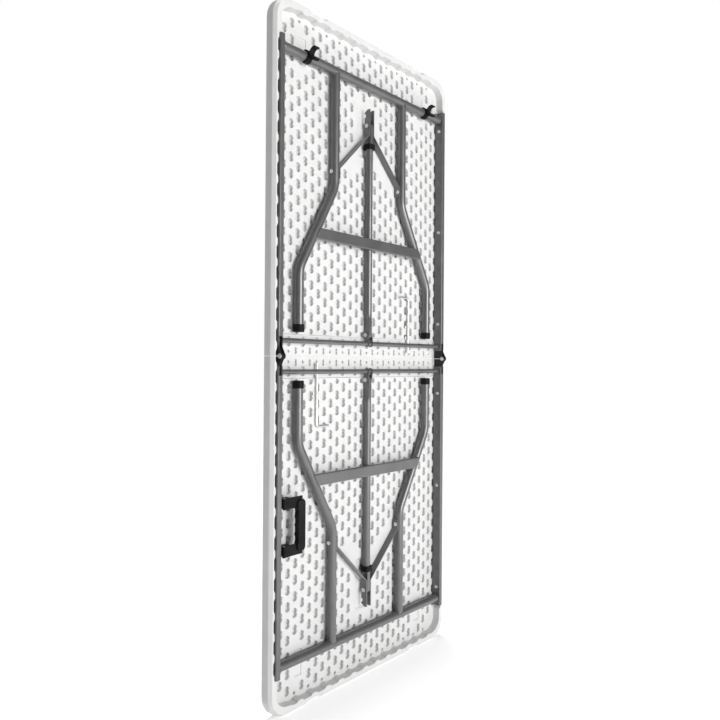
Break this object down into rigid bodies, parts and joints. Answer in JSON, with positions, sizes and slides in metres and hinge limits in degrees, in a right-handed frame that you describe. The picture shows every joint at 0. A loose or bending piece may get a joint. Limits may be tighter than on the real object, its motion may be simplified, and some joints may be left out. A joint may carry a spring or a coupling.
{
  "type": "folding table",
  "caption": "Fold-in-half rectangular table with hollow moulded white panels, grey tubular fold-out leg frames, locking braces, snap clips and a swinging carry handle.",
  "frame": {"origin": "centre of the standing end, on the floor, midway through the object's depth", "axes": "+X across the table to the right seen from the underside, +Y out of the working surface, +Z along the table's length, up when it stands on its short end"},
  "size_m": [0.762, 0.068, 1.829],
  "materials": {
    "panel_white": "white moulded polyethylene, fine grain",
    "frame_grey": "mid-grey powder coat, fine texture",
    "hinge_dark": "dark painted pressed steel",
    "black_plastic": "black moulded plastic, satin",
    "zinc": "zinc-plated steel",
    "zinc_wire": "bright zinc-plated wire"
  },
  "bodies": {
    "lower_half": {"lower_panel": "panel_white", "lower_rail_screws": "zinc", "lower_crossbar": "frame_grey", "lower_strut_clevis": "frame_grey", "lower_strut_bolt": "zinc", "lower_rod_guides": "panel_white", "lower_left_rail": "frame_grey", "lower_left_hinge_bracket": "hinge_dark", "lower_right_rail": "frame_grey", "lower_right_hinge_bracket": "hinge_dark", "left_hinge_pin": "zinc", "right_hinge_pin": "zinc", "handle_brackets": "black_plastic", "handle_pins": "zinc"},
    "upper_half": {"upper_panel": "panel_white", "upper_rail_screws": "zinc", "upper_crossbar": "frame_grey", "upper_strut_clevis": "frame_grey", "upper_strut_bolt": "zinc", "upper_rod_guides": "panel_white", "upper_left_rail": "frame_grey", "upper_left_hinge_bracket": "hinge_dark", "upper_right_rail": "frame_grey", "upper_right_hinge_bracket": "hinge_dark"},
    "lower_leg": {"lower_leg_cross_tube": "frame_grey", "lower_leg_bar": "frame_grey", "lower_leg_rivets": "zinc", "lower_left_leg_tube": "frame_grey", "lower_left_foot_cap": "black_plastic", "lower_right_leg_tube": "frame_grey", "lower_right_foot_cap": "black_plastic"},
    "lower_strut": {"lower_strut": "frame_grey"},
    "lower_brace": {"lower_left_brace_strap": "frame_grey", "lower_right_brace_strap": "frame_grey", "lower_brace_bolt": "zinc", "lower_brace_rivets": "zinc"},
    "lower_lock_ring": {"lower_lock_ring": "black_plastic"},
    "lower_lock_rod": {"lower_lock_rod": "zinc_wire"},
    "upper_leg": {"upper_leg_cross_tube": "frame_grey", "upper_leg_bar": "frame_grey", "upper_leg_rivets": "zinc", "upper_left_leg_tube": "frame_grey", "upper_left_foot_cap": "black_plastic", "upper_right_leg_tube": "frame_grey", "upper_right_foot_cap": "black_plastic", "left_snap_clip": "black_plastic", "right_snap_clip": "black_plastic"},
    "upper_strut": {"upper_strut": "frame_grey"},
    "upper_brace": {"upper_left_brace_strap": "frame_grey", "upper_right_brace_strap": "frame_grey", "upper_brace_bolt": "zinc", "upper_brace_rivets": "zinc"},
    "upper_lock_ring": {"upper_lock_ring": "black_plastic"},
    "upper_lock_rod": {"upper_lock_rod": "zinc_wire"},
    "carry_handle": {"carry_handle": "black_plastic"}
  },
  "joints": [
    {"name": "fold", "type": "hinge", "parent": "lower_half", "child": "upper_half", "pos_m": [0, -0.011, 0.9145], "axis": [-1, 0, 0], "range_deg": [-180, 0]},
    {"name": "lower_leg_fold", "type": "hinge", "parent": "lower_half", "child": "lower_leg", "pos_m": [0, 0.0065, 0.1295], "axis": [1, 0, 0], "range_deg": [0, 90]},
    {"name": "lower_strut_swing", "type": "hinge", "parent": "lower_half", "child": "lower_strut", "pos_m": [0, 0.0104, 0.8495], "axis": [-1, 0, 0], "range_deg": [0, 21.4]},
    {"name": "lower_brace_swing", "type": "hinge", "parent": "lower_strut", "child": "lower_brace", "pos_m": [0, 0.0104, 0.24189], "axis": [1, 0, 0], "range_deg": [0, 178.7]},
    {"name": "lower_ring_slide", "type": "slide", "parent": "lower_strut", "child": "lower_lock_ring", "axis": [0, 0, -1], "range_m": [0, 0.016]},
    {"name": "lower_rod_slide", "type": "slide", "parent": "lower_half", "child": "lower_lock_rod", "axis": [0, 0, 1], "range_m": [0, 0.07]},
    {"name": "upper_leg_fold", "type": "hinge", "parent": "upper_half", "child": "upper_leg", "pos_m": [0, 0.0065, 1.6995], "axis": [-1, 0, 0], "range_deg": [0, 90]},
    {"name": "upper_strut_swing", "type": "hinge", "parent": "upper_half", "child": "upper_strut", "pos_m": [0, 0.0104, 0.9795], "axis": [1, 0, 0], "range_deg": [0, 21.4]},
    {"name": "upper_brace_swing", "type": "hinge", "parent": "upper_strut", "child": "upper_brace", "pos_m": [0, 0.0104, 1.58711], "axis": [-1, 0, 0], "range_deg": [0, 178.7]},
    {"name": "upper_ring_slide", "type": "slide", "parent": "upper_strut", "child": "upper_lock_ring", "axis": [0, 0, 1], "range_m": [0, 0.016]},
    {"name": "upper_rod_slide", "type": "slide", "parent": "upper_half", "child": "upper_lock_rod", "axis": [0, 0, -1], "range_m": [0, 0.07]},
    {"name": "handle_swing", "type": "hinge", "parent": "lower_half", "child": "carry_handle", "pos_m": [-0.3465, -0.011, 0.4825], "axis": [0, 0, -1], "range_deg": [0, 180]}
  ],
  "couplings": [
    {"joint": "lower_strut_swing", "follows": "lower_leg_fold", "ratio": 0.23757},
    {"joint": "lower_brace_swing", "follows": "lower_leg_fold", "ratio": 1.985},
    {"joint": "upper_strut_swing", "follows": "upper_leg_fold", "ratio": 0.23757},
    {"joint": "upper_brace_swing", "follows": "upper_leg_fold", "ratio": 1.985}
  ]
}
